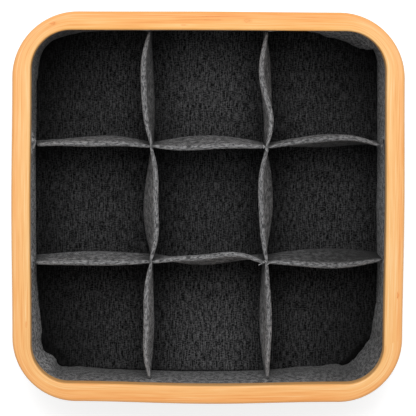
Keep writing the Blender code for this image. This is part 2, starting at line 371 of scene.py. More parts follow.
def paintWallShading(tree, place):
    # Painted shade towards the foot and in two corners, painted light on the side walls.
    x, y, z = splitPlace(tree, place)
    below = fromTo(tree, z, 0.0, liningHigh.z, 1.0, 0.0, smooth=False)
    outer = fromTo(tree, calc(tree, "ABSOLUTE", x), *wallPaintedShading["outerCellsAt"],
                   wallPaintedShading["footMiddle"], wallPaintedShading["footOuter"])
    deep = calc(tree, "MULTIPLY", calc(tree, "POWER", below, wallPaintedShading["footPower"]), outer)
    front = fromTo(tree, y, *wallPaintedShading["frontAt"])
    level = calc(tree, "SUBTRACT", 1.0, calc(tree, "MULTIPLY", front, deep))
    foot = calc(tree, "POWER", below, wallPaintedShading["sidesPower"])
    foot = calc(tree, "MULTIPLY", foot, wallPaintedShading["footSides"])
    level = calc(tree, "MULTIPLY", level, calc(tree, "SUBTRACT", 1.0, foot))
    toCorner = calc(tree, "SUBTRACT", x, y)
    for out, reach, change in ((x, "leftAt", wallPaintedShading["leftWall"]),
                               (x, "rightAt", wallPaintedShading["rightWall"]),
                               (toCorner, "frontRightAt", -wallPaintedShading["frontRightCorner"]),
                               (toCorner, "backLeftAt", -wallPaintedShading["backLeftCorner"])):
        mask = fromTo(tree, out, *wallPaintedShading[reach])
        level = calc(tree, "MULTIPLY", level, calc(tree, "MULTIPLY_ADD", mask, change, 1.0))
    return level


# Painted light and shade on the floor cloth, by cell and across each cell
cellPaintedShading = {
    "left": 0.55,  # painted shade towards each cell's left and right sides
    "right": 0.38,
    "leftReach": 0.42,  # how far across a cell each goes, as shares of its width
    "rightReach": 0.62,
    "middleRow": 0.70,
    "outerRows": 0.52,  # painted light that the outer rows add
    "cornerCells": 0.89,  # and painted shade that the corner cells get again
    "outwards": (0.02, 0.125),
    "frontTuckShade": 0.88,  # near-black painted shade on the floor under the folds of the two front corners
    "frontTucksAt": (0.249, 0.257),
    "leftTuckShare": 0.45,
    "leftToRight": (-0.05, 0.05),
    "cellCount": 10.5,  # cells are counted from this many to the left of the middle
}


def paintCellShading(tree, place):
    # Painted shade at each cell's sides, in the corner cells and the front corners, painted light in the
    # outer rows.
    x, y, _ = splitPlace(tree, place)
    pitch = dividers["pitch"]
    start = cellPaintedShading["cellCount"] - dividers["shiftX"] / pitch
    across = calc(tree, "FRACT", calc(tree, "MULTIPLY_ADD", x, 1 / pitch, start))
    left = fromTo(tree, across, 0.0, cellPaintedShading["leftReach"], 1 - cellPaintedShading["left"], 1.0)
    right = fromTo(tree, across, cellPaintedShading["rightReach"], 1.0, 1.0, 1 - cellPaintedShading["right"])
    absX = calc(tree, "ABSOLUTE", x)
    outX = fromTo(tree, absX, *cellPaintedShading["outwards"])
    outY = fromTo(tree, calc(tree, "ABSOLUTE", y), *cellPaintedShading["outwards"])
    row = calc(tree, "MULTIPLY_ADD", outY, cellPaintedShading["outerRows"], cellPaintedShading["middleRow"])
    corner = calc(tree, "MULTIPLY", calc(tree, "MULTIPLY", outX, outY), cellPaintedShading["cornerCells"])
    row = calc(tree, "SUBTRACT", row, corner)
    tuck = fromTo(tree, calc(tree, "SUBTRACT", absX, y), *cellPaintedShading["frontTucksAt"])
    sideShare = fromTo(tree, x, *cellPaintedShading["leftToRight"], cellPaintedShading["leftTuckShare"], 1.0)
    tuck = calc(tree, "MULTIPLY", tuck, sideShare)
    row = calc(tree, "MULTIPLY", row,
               calc(tree, "MULTIPLY_ADD", tuck, -cellPaintedShading["frontTuckShade"], 1.0))
    return calc(tree, "MULTIPLY", calc(tree, "MULTIPLY", left, right), row)


def clothMaterial(name, yarn):
    finish = cloths[name]
    material, tree, shader, where = newMaterial(
        f"{name}Cloth", clothFinish["roughness"], specular=clothFinish["specular"])
    if finish["fleckOn"] == "fleckMap":
        fleckPlace = addNode(tree, "ShaderNodeUVMap", uv_map="fleckMap").outputs[0]
    else:
        fleckPlace = where[finish["fleckOn"]]
    shader.inputs["Sheen Weight"].default_value = finish["sheen"]
    shader.inputs["Sheen Roughness"].default_value = clothFinish["sheenRoughness"]
    woven = useGroup(tree, yarn, {
        "Place": where["UV"],
        "Thread Pitch": finish["pitch"],
        "Fleck Place": stretched(tree, fleckPlace, [1 / size for size in finish["fleck"]]),
        "Fleck Softness": finish["fleckSoftness"],
        "Streak Width": finish["streak"][0],
        "Streak Length": finish["streak"][1],
        "Streak Softness": finish["streakSoftness"],
        "Rarity": finish["rarity"],
        "Dark": finish["dark"],
        "Light": finish["light"],
    })
    color, shade = woven["Color"], finish.get("shade")
    # painted light and shade: the dividers' from their attribute, the walls' and the floor's from the
    # place
    if shade == "paintedShading":
        paintedShadingValue = addNode(tree, "ShaderNodeAttribute", attribute_name="paintedShading").outputs["Fac"]
        color = shadeColor(tree, color, paintedShadingValue)
    elif shade:
        paintedShadingOf = paintWallShading if shade == "walls" else paintCellShading
        color = shadeColor(tree, color, paintedShadingOf(tree, where["Object"]))
    tree.links.new(color, shader.inputs["Base Color"])
    addBump(tree, shader, woven["Height"], finish["bump"], clothFinish["bumpStrength"])
    return material


# A knot is x, y, reach along X, reach along Y and depth of tone.

bambooTones = {
    "outer": {
        "seed": 3.0,
        "dark": (0.79, 0.31, 0.078, 1), "middle": (0.87, 0.40, 0.125, 1), "light": (0.91, 0.50, 0.20, 1),
        "knots": [(0.1545, -0.0698, 0.0022, 0.0040, 0.75), (-0.1085, -0.1515, 0.0060, 0.0016, 0.5),
                  (0.0040, 0.1560, 0.0160, 0.0008, 0.6)],
    },
    "middle": {
        "seed": 10.0,
        "dark": (0.81, 0.34, 0.092, 1), "middle": (0.88, 0.435, 0.140, 1), "light": (0.92, 0.54, 0.23, 1),
        "knots": [(-0.1270, 0.1505, 0.0052, 0.0030, 0.75), (0.0310, 0.1530, 0.0058, 0.0026, 0.4),
                  (0.0020, 0.1533, 0.0130, 0.0008, 0.5)],
    },
    "inner": {
        "seed": 17.0,
        "dark": (0.81, 0.36, 0.102, 1), "middle": (0.88, 0.46, 0.155, 1), "light": (0.92, 0.56, 0.245, 1),
        "knots": [(-0.0200, 0.1490, 0.0050, 0.0008, 0.6), (-0.1478, -0.0950, 0.0012, 0.0050, 0.4)],
    },
}
# Painted light on the side strips and painted shade on the back one
stripPaintedLight = {
    "front": (1.0, 0.985, 0.985, 1), "back": (0.99, 0.935, 0.81, 1), "sides": (1.0, 1.06, 1.16, 1),
    "frontToBack": (-0.10, 0.13), "middleToSides": (0.095, 0.150),
}
bambooFinish = {
    "specular": 0.35,
    "grainHeights": (0.35, 0.65),
    "roughness": (0.50, 0.36),  # at those heights
    "bump": 0.00008,
    "bumpStrength": 0.5,
    "knotColor": (0.82, 0.27, 0.055, 1),
    "knotLineColor": (0.56, 0.19, 0.045, 1),
    "knotLineShare": 0.6,
}


def paintStripLight(tree, place):
    # Painted light and shade by place on the rim: the side lengths are paler and the back one is darker
    # and richer.
    x, y, _ = splitPlace(tree, place)
    toBack = fromTo(tree, y, *stripPaintedLight["frontToBack"])
    toSides = fromTo(tree, calc(tree, "ABSOLUTE", x), *stripPaintedLight["middleToSides"])
    ends = blendColors(tree, toBack, stripPaintedLight["front"], stripPaintedLight["back"])
    return blendColors(tree, toSides, ends, stripPaintedLight["sides"])


def bambooMaterial(ply, seed, grain, knot):
    tones, finish = bambooTones[ply], bambooFinish
    material, tree, shader, where = newMaterial(
        f"{ply}Bamboo", finish["roughness"][0], specular=finish["specular"])
    strip = useGroup(tree, grain, {
        "Place": where["UV"], "Dark": tones["dark"], "Middle": tones["middle"],
        "Light": tones["light"], "Seed": seed,
    })
    # painted light and shade by side
    color = blendColors(tree, 1.0, strip["Color"], paintStripLight(tree, where["Object"]), "MULTIPLY")
    for x, y, reachX, reachY, depth in tones["knots"]:
        mark = useGroup(tree, knot, {"Place": where["Object"], "Middle": (x, y, 0),
                                     "Scale": (1 / reachX, 1 / reachY, 0)})
        for part, share, tint in (("Mask", depth, finish["knotColor"]),
                                  ("Line", depth * finish["knotLineShare"], finish["knotLineColor"])):
            color = blendColors(tree, calc(tree, "MULTIPLY", mark[part], share), color, tint)
    tree.links.new(color, shader.inputs["Base Color"])
    shine = fromTo(tree, strip["Height"], *finish["grainHeights"], *finish["roughness"])
    tree.links.new(shine, shader.inputs["Roughness"])
    addBump(tree, shader, strip["Height"], finish["bump"], finish["bumpStrength"])
    return material


# Finishes of the boards and staples, which lie hidden between the cloths
hiddenFinishes = {
    "greyBoard": {"fleckScale": 700.0, "dark": (0.20, 0.185, 0.165, 1), "light": (0.38, 0.36, 0.32, 1),
                  "roughness": 0.9, "metallic": 0.0, "bump": 0.00006},
    "stapleSteel": {"fleckScale": 2500.0, "dark": grey(0.50, 0.51), "light": grey(0.72, 0.73),
                    "roughness": 0.32, "metallic": 1.0, "bump": 0.00001},
}
hiddenBumpStrength = 0.5


def hiddenMaterial(name, fleck):
    finish = hiddenFinishes[name]
    material, tree, shader, where = newMaterial(name, finish["roughness"], finish["metallic"])
    flecks = useGroup(tree, fleck, {"Place": where["Object"], "Scale": finish["fleckScale"],
                                    "Dark": finish["dark"], "Light": finish["light"]})
    tree.links.new(flecks["Color"], shader.inputs["Base Color"])
    addBump(tree, shader, flecks["Height"], finish["bump"], hiddenBumpStrength)
    return material


threadFinishes = {
    "darkThread": {"dark": grey(0.02, 0.021), "light": grey(0.07, 0.072)},
    "paleThread": {"dark": grey(0.30, 0.305), "light": grey(0.62, 0.63)},
}
threadTwist = {"scale": 900.0, "distortion": 1.5, "roughness": 0.6, "bump": 0.00005, "bumpStrength": 0.6}


def threadMaterial(name):
    # Two twisted strands, seen as slanting bands of tone along each stitch.
    finish = threadFinishes[name]
    material, tree, shader, where = newMaterial(name, threadTwist["roughness"])
    inputs = {"Vector": where["Object"], "Scale": threadTwist["scale"],
              "Distortion": threadTwist["distortion"]}
    bands = addNode(tree, "ShaderNodeTexWave", inputs, bands_direction="DIAGONAL").outputs["Fac"]
    color = blendColors(tree, bands, finish["dark"], finish["light"])
    tree.links.new(color, shader.inputs["Base Color"])
    addBump(tree, shader, bands, threadTwist["bump"], threadTwist["bumpStrength"])
    return material


# The ring that the rim and the walls follow: four sides with a slight bow and four round corners.
# An inset is measured inwards from the rim's outer face. The bends squeeze the layers thinner.

ring = {
    "backCornerRadius": 0.0535,
    "frontCornerRadius": 0.0522,
    "bow": {"right": 0.0008, "back": 0.0003, "left": 0.0008, "front": 0.0019},
    "bendSqueeze": 0.40,
    "sideDepth": 0.04,  # a point further in than this isn't on a side
    "tolerance": 1e-6,
    "mergeDistance": 0.00001,
}
sides = ("right", "back", "left", "front")
turnsLeft = {side: math.radians(90) * index for index, side in enumerate(sides)}
radiusAfter = {
    "right": ring["backCornerRadius"], "back": ring["backCornerRadius"],
    "left": ring["frontCornerRadius"], "front": ring["frontCornerRadius"],
}
rimLow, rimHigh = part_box("rim_outer_ply")
rimReach = {"right": rimHigh.x, "back": rimHigh.y, "left": rimHigh.x, "front": rimHigh.y}
halfReach = {side: rimReach[side] - ring["bow"][side] for side in sides}


def clamped(value):
    return min(1, max(0, value))


def eased(share):
    return share * share * (3 - 2 * share)


def sideDirections(side):
    outward = Vector((math.cos(turnsLeft[side]), math.sin(turnsLeft[side]), 0))
    return outward, up.cross(outward)


def sideRun(side):
    before, after = sides[sides.index(side) - 1], sides[(sides.index(side) + 1) % 4]
    return radiusAfter[before] - halfReach[before], halfReach[after] - radiusAfter[side]


def cornerArc(side, inset):
    return (radiusAfter[side] - inset) * math.pi / 2


def cornerCentre(side):
    outward, along = sideDirections(side)
    return outward * (halfReach[side] - radiusAfter[side]) + along * sideRun(side)[1]


def ringLength(inset):
    straight = sum(sideRun(side)[1] - sideRun(side)[0] for side in sides)
    return straight + sum(cornerArc(side, inset) for side in sides)


def bowAndSqueeze(side, share, turn, inset):
    # How a place on a plain ring moves. share runs from -1 to 1 along a side, and turn goes round
    # the corner after it.
    outward, along = sideDirections(side)
    squeeze = ring["bendSqueeze"] * inset
    if turn is None:
        bow = ring["bow"][side] * math.cos(math.pi / 2 * share) ** 2
        return outward * bow + along * squeeze * share
    direction = outward * math.cos(turn) + along * math.sin(turn)
    return (outward + along - direction) * squeeze


def ringPlace(point, inset):
    # Where a point of a ring is: its distance round the ring, and its place on a side or corner.
    travelled, tolerance = 0.0, ring["tolerance"]
    for side in sides:
        outward, along = sideDirections(side)
        out, step = point.dot(outward), point.dot(along)
        start, end = sideRun(side)
        onRun = start - tolerance <= step <= end + tolerance
        if onRun and out > halfReach[side] - ring["sideDepth"]:
            share, ownInset = (2 * step - start - end) / (end - start), halfReach[side] - out
            return {"distance": travelled + step - start, "inset": ownInset, "outward": outward,
                    "side": side, "step": step, "corner": None,
                    "move": bowAndSqueeze(side, share, None, ownInset)}
        travelled += end - start
        radius = radiusAfter[side]
        outPast, stepPast = out - (halfReach[side] - radius), step - end
        if outPast > 0 and stepPast > 0:
            turn, ownInset = math.atan2(stepPast, outPast), radius - math.hypot(outPast, stepPast)
            return {"distance": travelled + turn * (radius - inset), "inset": ownInset,
                    "outward": outward * math.cos(turn) + along * math.sin(turn),
                    "side": None, "step": None, "corner": side,
                    "move": bowAndSqueeze(side, None, turn, ownInset)}
        travelled += cornerArc(side, inset)
    raise ValueError(f"no place on the ring for {point}")


def cornerMiddle(side, inset):
    # Distance round the ring of the middle of the corner that follows a side.
    travelled = 0.0
    for other in sides:
        start, end = sideRun(other)
        travelled += end - start
        if other == side:
            return travelled + cornerArc(other, inset) / 2
        travelled += cornerArc(other, inset)


def wrapped(distance, length):
    # A distance round the ring, from half a length behind to half a length ahead.
    return (distance + length / 2) % length - length / 2


def ringPoint(side, step, inset, height):
    outward, along = sideDirections(side)
    return outward * (halfReach[side] - inset) + along * step + up * height


def spinRound(bm, sideSteps, cornerSteps):
    # Carries the section that bm holds, at the front end of the right side, once round the ring.
    geom = bm.verts[:] + bm.edges[:]
    for side in sides:
        start, end = sideRun(side)
        move = sideDirections(side)[1] * ((end - start) / sideSteps)
        swept = bmesh.ops.spin(bm, geom=geom, cent=(0, 0, 0), axis=up, dvec=move, angle=0.0,
                               steps=sideSteps)
        swept = bmesh.ops.spin(bm, geom=swept["geom_last"], cent=cornerCentre(side), axis=up,
                               dvec=(0, 0, 0), angle=math.radians(90), steps=cornerSteps)
        geom = swept["geom_last"]
    bmesh.ops.remove_doubles(bm, verts=bm.verts[:], dist=ring["mergeDistance"])


def shapeRing(bm, inset, heightOf, pullOf=None):
    # Unwraps a ring in metres, gives it its bow and squeeze, and draws it in by pullOf(place, height).
    length = ringLength(inset)
    layer = bm.loops.layers.uv.new("UVMap")
    places = {vert: ringPlace(vert.co, inset) for vert in bm.verts}
    for face in bm.faces:
        middle = ringPlace(face.calc_center_median(), inset)
        for loop in face.loops:
            place = places[loop.vert]
            ahead = wrapped(place["distance"] - middle["distance"], length)
            loop[layer].uv = (middle["distance"] + ahead, heightOf(loop.vert.co, place, middle))
    for vert in bm.verts:
        place = places[vert]
        pull = pullOf(place, vert.co.z) if pullOf else 0.0
        vert.co += place["move"] - place["outward"] * pull
    bmesh.ops.recalc_face_normals(bm, faces=bm.faces[:])


def keepMesh(name, bm, material, replaced=(), smoothAngle=35):
    mesh = bpy.data.meshes.new(name)
    bm.to_mesh(mesh)
    bm.free()
    mesh.shade_smooth()
    mesh.set_sharp_from_angle(angle=math.radians(smoothAngle))
    mesh.materials.append(material)
    piece = bpy.data.objects.new(name, mesh)
    bpy.context.scene.collection.objects.link(piece)
    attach(piece, body)
    if replaced:
        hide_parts(*replaced)
    return piece


def giveThickness(piece, thickness):
    solid = piece.modifiers.new("clothThickness", "SOLIDIFY")
    solid.thickness = thickness
    solid.offset = 0
    solid.use_even_offset = True


# Bamboo rim: three bent plies, flush on top, the inner one rebated underneath for the cloth

rim = {
    "plyWidth": 0.005,
    "glueLine": 0.00001,  # what shows between two plies
    "outerEdgeRadius": 0.0028,
    "innerEdgeRadius": 0.0018,
    "sideSteps": 32,
    "cornerSteps": 24,
    "edgeSegments": 6,
}


def makePly(name, outer, inner, low, outerRadius, innerRadius, material, node):
    high = rimHigh.z
    start = sideRun("right")[0]
    bm = bmesh.new()
    corners = [bm.verts.new(ringPoint("right", start, inset, height))
               for inset, height in ((outer, low), (inner, low), (inner, high), (outer, high))]
    bm.faces.new(corners)
    for pair, radius in (((corners[0], corners[3]), outerRadius),
                         ((corners[1], corners[2]), innerRadius)):
        if radius:
            bmesh.ops.bevel(bm, geom=list(pair), offset=radius, offset_type="OFFSET",
                            affect="VERTICES", segments=rim["edgeSegments"], profile=0.5, material=-1)
    bmesh.ops.delete(bm, geom=bm.faces[:], context="FACES_ONLY")
    spinRound(bm, rim["sideSteps"], rim["cornerSteps"])
    middleInset = (outer + inner) / 2

    def roundSection(point, place, faceMiddle):
        drop = high - point.z
        return place["inset"] - drop if faceMiddle["inset"] < middleInset else place["inset"] + drop

    shapeRing(bm, middleInset, roundSection)
    return keepMesh(name, bm, material, [node])


def makeRim(materials):
    width, line = rim["plyWidth"], rim["glueLine"] / 2
    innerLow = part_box("rim_inner_ply")[0].z
    makePly("rimOuterPly", 0, width - line, rimLow.z, rim["outerEdgeRadius"], 0,
            materials["outerBamboo"], "rim_outer_ply")
    makePly("rimMiddlePly", width + line, 2 * width - line, rimLow.z, 0, 0,
            materials["middleBamboo"], "rim_middle_ply")
    makePly("rimInnerPly", 2 * width + line, 3 * width, innerLow, 0, rim["innerEdgeRadius"],
            materials["innerBamboo"], "rim_inner_ply")
    print("rim made")


# Wall lining: one band of cloth, taut over the boards and slack in the corners

clothThickness = 0.0009
lining = {
    "inset": 0.01365,
    "rows": 32,
    "sideSteps": 84,
    "cornerSteps": 30,
    "fullestHeight": 0.013,  # where a slack corner stands furthest in
    "tuckHeight": 0.0052,  # below this it is back against the floor's edge
    # how far up a corner's fullness goes, where more keeps the fold to the foot
    "steepness": {"right": 1.6, "back": 3.0, "left": 1.2, "front": 1.2},
    "plainSteepness": 1.2,
    "cornerReach": 60,  # in millimetres from the corner's middle
    # distance from the corner's middle and how far the cloth is drawn in there, in millimetres
    "footPulls": {
        "right": [(-140, 2.4), (-95, 2.1), (-55, 1.9), (-32, 1.9), (-19, 1.1), (-9, 0.0), (-4, 5.9),
                  (4, 9.3), (12, 10.2), (25, 9.1), (39, 6.4), (51, 2.3), (62, 0.6), (90, 1.3),
                  (140, 1.45)],
        "back": [(-140, 1.45), (-70, 1.4), (-51, 1.7), (-38, 2.7), (-29, 4.5), (-19, 4.7), (-11, 4.0),
                 (-1, 2.8), (8, 2.3), (17, 2.4), (24, 2.6), (34, 1.9), (44, 0.4), (58, -0.6),
                 (80, -0.6), (93, 0.4), (120, 0.9), (140, 1.1)],
        "left": [(-140, 1.1), (-104, 1.0), (-72, 1.3), (-56, 2.5), (-42, 4.1), (-31, 5.2), (-18, 3.7),
                 (-9, 2.6), (2, 5.7), (7, 5.2), (12, 2.3), (16, 1.3), (21, 2.5), (34, 3.6), (43, 2.8),
                 (60, 1.4), (90, 0.9), (140, 1.35)],
        "front": [(-140, 1.35), (-89, 1.9), (-77, 2.9), (-61, 4.3), (-45, 4.5), (-38, 6.0), (-32, 6.5),
                  (-26.5, 5.0), (-20, 5.2), (-11, 6.8), (2, 8.6), (15, 8.2), (25, 5.9), (36, 4.2),
                  (48, 2.5), (58, 1.0), (70, 0.2), (88, 1.2), (114, 2.0), (140, 2.4)],
    },
    # where a divider's end draws the cloth in: place along the wall, half width and depth at its top,
    # in millimetres
    "seams": {
        "left": [(-49.5, 13, 5.0), (45.9, 13, 3.4)],
        "right": [(49.5, 13, 3.9), (-45.9, 13, 1.2)],
        "back": [(46.7, 15, 1.8), (-48.7, 14, 1.6)],
        "front": [(-46.7, 13, 2.1), (48.7, 13, 2.1)],
    },
    "seamTop": 0.073,
    "seamFade": 0.003,  # below the rim, where nothing of it is left
    "seamPoint": 1.6,  # more makes its fold sharper
    "wave": 0.00035,
    "waveReach": (0.022, 0.034),  # along and up the wall
    "waveLayer": 4.2,
    "heldBelowRim": 0.012,  # within these the wave dies away
    "heldFoot": (0.004, 0.014),
}


def easeBetween(stops, where):
    # Smooth curve through a few (place, value) stops, level at each of them.
    if where <= stops[0][0]:
        return stops[0][1]
    for (low, lowValue), (high, highValue) in zip(stops, stops[1:]):
        if where <= high:
            return lowValue + (highValue - lowValue) * eased((where - low) / (high - low))
    return stops[-1][1]


def waveAt(along, height, reach, layer):
    # Soft noise from -1 to 1 that changes over reach, a length along the cloth and one up it.
    return noise.noise(Vector((along / reach[0], height / reach[1], layer)))


liningLow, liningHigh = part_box("wall_lining_cloth")
liningLength = ringLength(lining["inset"])
cornerMiddles = {side: cornerMiddle(side, lining["inset"]) for side in sides}


def fullness(height, steepness):
    # 0 at the rim, 1 where a slack corner is fullest, and 0 again at the tuck beside the floor.
    fullest, tuck = lining["fullestHeight"], lining["tuckHeight"]
    if height >= fullest:
        share = (liningHigh.z - height) / (liningHigh.z - fullest)
        return math.sin(math.pi / 2 * max(share, 0)) ** steepness
    return eased(max((height - tuck) / (fullest - tuck), 0))


def seamRise(height):
    # How fully a divider's end draws the wall in: not at the foot or the rim, most at its top.
    top, foot = lining["seamTop"], lining["fullestHeight"]
    if height <= top:
        return max(0, (height - foot) / (top - foot))
    fade = liningHigh.z - lining["seamFade"]
    return eased(max(0, (fade - height) / (fade - top)))


def liningPull(place, height):
    away, nearest = min(((wrapped(place["distance"] - middle, liningLength) / mm, side)
                         for side, middle in cornerMiddles.items()), key=lambda pair: abs(pair[0]))
    cornerShare = max(0, 1 - abs(away) / lining["cornerReach"])
    plain = lining["plainSteepness"]
    steepness = plain + (lining["steepness"][nearest] - plain) * cornerShare
    pull = easeBetween(lining["footPulls"][nearest], away) * mm * fullness(height, steepness)
    for along, halfWidth, depth in lining["seams"].get(place["side"], ()):
        off = abs(place["step"] / mm - along) / halfWidth
        if off < 1:
            pull += depth * mm * (1 - off) ** lining["seamPoint"] * seamRise(height)
    low, high = lining["heldFoot"]
    held = clamped((liningHigh.z - height) / lining["heldBelowRim"])
    held *= clamped((height - low) / (high - low))
    wave = waveAt(place["distance"], height, lining["waveReach"], lining["waveLayer"])
    return pull + wave * lining["wave"] * held


def makeLining(material):
    bm = bmesh.new()
    start = sideRun("right")[0]
    low = bm.verts.new(ringPoint("right", start, lining["inset"], liningLow.z))
    high = bm.verts.new(ringPoint("right", start, lining["inset"], liningHigh.z))
    edge = bm.edges.new((low, high))
    bmesh.ops.subdivide_edges(bm, edges=[edge], cuts=lining["rows"] - 1)
    spinRound(bm, lining["sideSteps"], lining["cornerSteps"])
    shapeRing(bm, lining["inset"], lambda point, place, middle: point.z, liningPull)
    piece = keepMesh("wallLining", bm, material, ["wall_lining_cloth"])
    giveThickness(piece, clothThickness)
    print("wall lining made")


# Outer wall: the band of cloth that shows from outside, turned in at the bottom seam

outerWall = {
    "inset": 0.01065,
    "rows": 30,
    "sideSteps": 60,
    "cornerSteps": 24,
    "foldRadius": 0.0020,
    "foldSegments": 5,
    "foldHeight": 0.00075,
    "lapStep": -0.062,  # place of the lapped seam along the back
    "lapWidth": 0.009,
    "lapRise": 0.0008,
    "lapEdge": 0.0008,
    "wave": 0.0003,
    "waveReach": (0.03, 0.05),
    "waveLayer": 8.8,
    "heldPower": 0.7,  # how soon the cloth is free between its two held edges
    "cornerDent": 0.0013,
    "dentReach": 0.030,  # from the corner's middle
    "dentEven": 0.55,  # evenly dented share, and the share that comes and goes in creases
    "dentCreased": 0.9,
    "creaseReach": (0.011, 0.06),
    "creaseLayer": 2.1,
}
outerLow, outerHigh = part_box("outer_wall_cloth")
outerLength = ringLength(outerWall["inset"])


def outerWallPull(place, height):
    wall, distance = outerWall, place["distance"]
    share = clamped((outerHigh.z - height) / (outerHigh.z - outerLow.z))
    held = math.sin(math.pi * share) ** wall["heldPower"]
    pull = waveAt(distance, height, wall["waveReach"], wall["waveLayer"]) * wall["wave"] * held
    if place["corner"]:
        middle = cornerMiddle(place["corner"], wall["inset"])
        away = wrapped(distance - middle, outerLength) / wall["dentReach"]
        soft = max(0, math.cos(math.pi / 2 * min(1, abs(away))))
        crease = waveAt(distance, height, wall["creaseReach"], wall["creaseLayer"])
        depth = wall["dentEven"] + wall["dentCreased"] * crease
        pull += wall["cornerDent"] * soft * held * depth
    if place["side"] == "back":
        away = abs(place["step"] - wall["lapStep"])
        rise = clamped((wall["lapWidth"] / 2 - away) / wall["lapEdge"] + 0.5)
        pull -= wall["lapRise"] * eased(rise)
    return pull


def makeOuterWall(material):
    bm = bmesh.new()
    start = sideRun("right")[0]
    inset, radius, foot = outerWall["inset"], outerWall["foldRadius"], outerWall["foldHeight"]
    tip = bm.verts.new(ringPoint("right", start, inset + radius, foot))
    centre = ringPoint("right", start, inset + radius, foot + radius)
    bmesh.ops.spin(bm, geom=[tip], cent=centre, axis=(0, 1, 0), dvec=(0, 0, 0),
                   angle=-math.radians(90), steps=outerWall["foldSegments"])
    upper = max(bm.verts, key=lambda vert: vert.co.z)
    raised = bmesh.ops.extrude_vert_indiv(bm, verts=[upper])
    bmesh.ops.translate(bm, verts=raised["verts"], vec=up * (outerHigh.z - upper.co.z))
    bmesh.ops.subdivide_edges(bm, edges=raised["edges"], cuts=outerWall["rows"] - 1)
    spinRound(bm, outerWall["sideSteps"], outerWall["cornerSteps"])

    def upTheWall(point, place, middle):
        return point.z - max(0, place["inset"] - inset)

    shapeRing(bm, inset, upTheWall, outerWallPull)
    piece = keepMesh("outerWall", bm, material, ["outer_wall_cloth"])
    giveThickness(piece, clothThickness)
    print("outer wall made")


# Floor and bottom: round-cornered sheets made from a grid, with their edges turned

plate = {
    "gridSteps": 108,
    "edgeRings": 6,  # outermost rings of the grid, which make the turned edge
    "tolerance": 1e-6,
    "rippleReach": (0.03, 0.03),
    "calmFrom": 0.85,  # share of the way out where the ripple begins to fade
}
floorCloth = {"edgeRadius": 0.0010, "bend": -1, "ripple": 0.00022, "layer": 3.3}
bottomCloth = {"edgeRadius": 0.0016, "bend": 1, "ripple": 0.00005, "layer": 6.1,
               "turnUp": 0.0020, "margin": 0.0026}


def outlinePoint(side, share, inset):
    # share runs from -1, the middle of the corner before the side, to 1, that of the one after.
    before = sides[sides.index(side) - 1]
    outward, along = sideDirections(side)
    start, end = sideRun(side)
    arcBefore, arcAfter = cornerArc(before, inset) / 2, cornerArc(side, inset) / 2
    travelled = (share + 1) / 2 * (arcBefore + end - start + arcAfter)
    if travelled < arcBefore:
        turn = (travelled - arcBefore) / (radiusAfter[before] - inset)
        centre, corner, cornerTurn = cornerCentre(before), before, turn + math.pi / 2
    elif travelled > arcBefore + end - start:
        turn = (travelled - arcBefore - end + start) / (radiusAfter[side] - inset)
        centre, corner, cornerTurn = cornerCentre(side), side, turn
    else:
        step = start + travelled - arcBefore
        move = bowAndSqueeze(side, (2 * step - start - end) / (end - start), None, inset)
        return outward * (halfReach[side] - inset) + along * step + move, outward
    direction = outward * math.cos(turn) + along * math.sin(turn)
    place = centre + direction * (radiusAfter[corner] - inset)
    return place + bowAndSqueeze(corner, None, cornerTurn, inset), direction


def gridPlace(x, y, reach):
    # Which side of the grid a point looks out to, and how far along it, from -1 to 1.
    for side, out, along in (("right", x, y), ("back", y, -x), ("left", -x, -y)):
        if abs(out - reach) < plate["tolerance"]:
            return side, along / reach
    return "front", x / reach


def makePlate(name, cloth, inset, level, edgeDrop, material, node):
    # edgeDrop is how far the edge is turned, downwards when the cloth's bend is -1, upwards when 1.
    steps, radius = plate["gridSteps"], cloth["edgeRadius"]
    flatLimit = 1 - 2 * plate["edgeRings"] / steps
    arc = radius * math.pi / 2
    bm = bmesh.new()
    bmesh.ops.create_grid(bm, x_segments=steps, y_segments=steps, size=1)
    layer = bm.loops.layers.uv.new("UVMap")
    flatPlace = {}
    for vert in bm.verts:
        x, y = vert.co.x, vert.co.y
        reach = max(abs(x), abs(y))
        if reach < plate["tolerance"]:
            flatPlace[vert] = Vector((0, 0, 0))
            vert.co = (0, 0, level)
            continue
        edgePoint, outward = outlinePoint(*gridPlace(x, y, reach), inset + radius)
        inner = min(reach / flatLimit, 1)
        past = max(0, (reach - flatLimit) / (1 - flatLimit))
        travel = past * (arc + max(0, edgeDrop - radius))
        turn = min(travel / radius, math.pi / 2)
        drop = radius * (1 - math.cos(turn)) + max(0, travel - arc)
        flatPlace[vert] = edgePoint * inner + outward * travel
        place = edgePoint * inner + outward * radius * math.sin(turn)
        calm = 1 - clamped((inner - plate["calmFrom"]) / (1 - plate["calmFrom"]))
        ripple = waveAt(place.x, place.y, plate["rippleReach"], cloth["layer"])
        height = level + cloth["bend"] * drop + cloth["ripple"] * ripple * calm
        vert.co = (place.x, place.y, height)
    for face in bm.faces:
        for loop in face.loops:
            loop[layer].uv = flatPlace[loop.vert].xy
    bmesh.ops.recalc_face_normals(bm, faces=bm.faces[:])
    piece = keepMesh(name, bm, material, [node], smoothAngle=60)
    giveThickness(piece, clothThickness)
    return piece


def makeFloorAndBottom(materials):
    low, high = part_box("floor_cloth")
    inset = rimHigh.x - high.x + clothThickness / 2
    level = high.z - clothThickness / 2
    drop = level - low.z
    piece = makePlate("floorCloth", floorCloth, inset, level, drop, materials["darkLinenCloth"],
                      "floor_cloth")

    low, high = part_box("bottom_cloth")
    inset = rimHigh.x - high.x + bottomCloth["margin"]
    level = clothThickness / 2 + bottomCloth["ripple"]
    piece = makePlate("bottomCloth", bottomCloth, inset, level, bottomCloth["turnUp"],
                      materials["heatherCloth"], "bottom_cloth")
    print("floor and bottom cloths made")


# Dividers: strips of cloth folded double, pinched at each crossing and swelling between

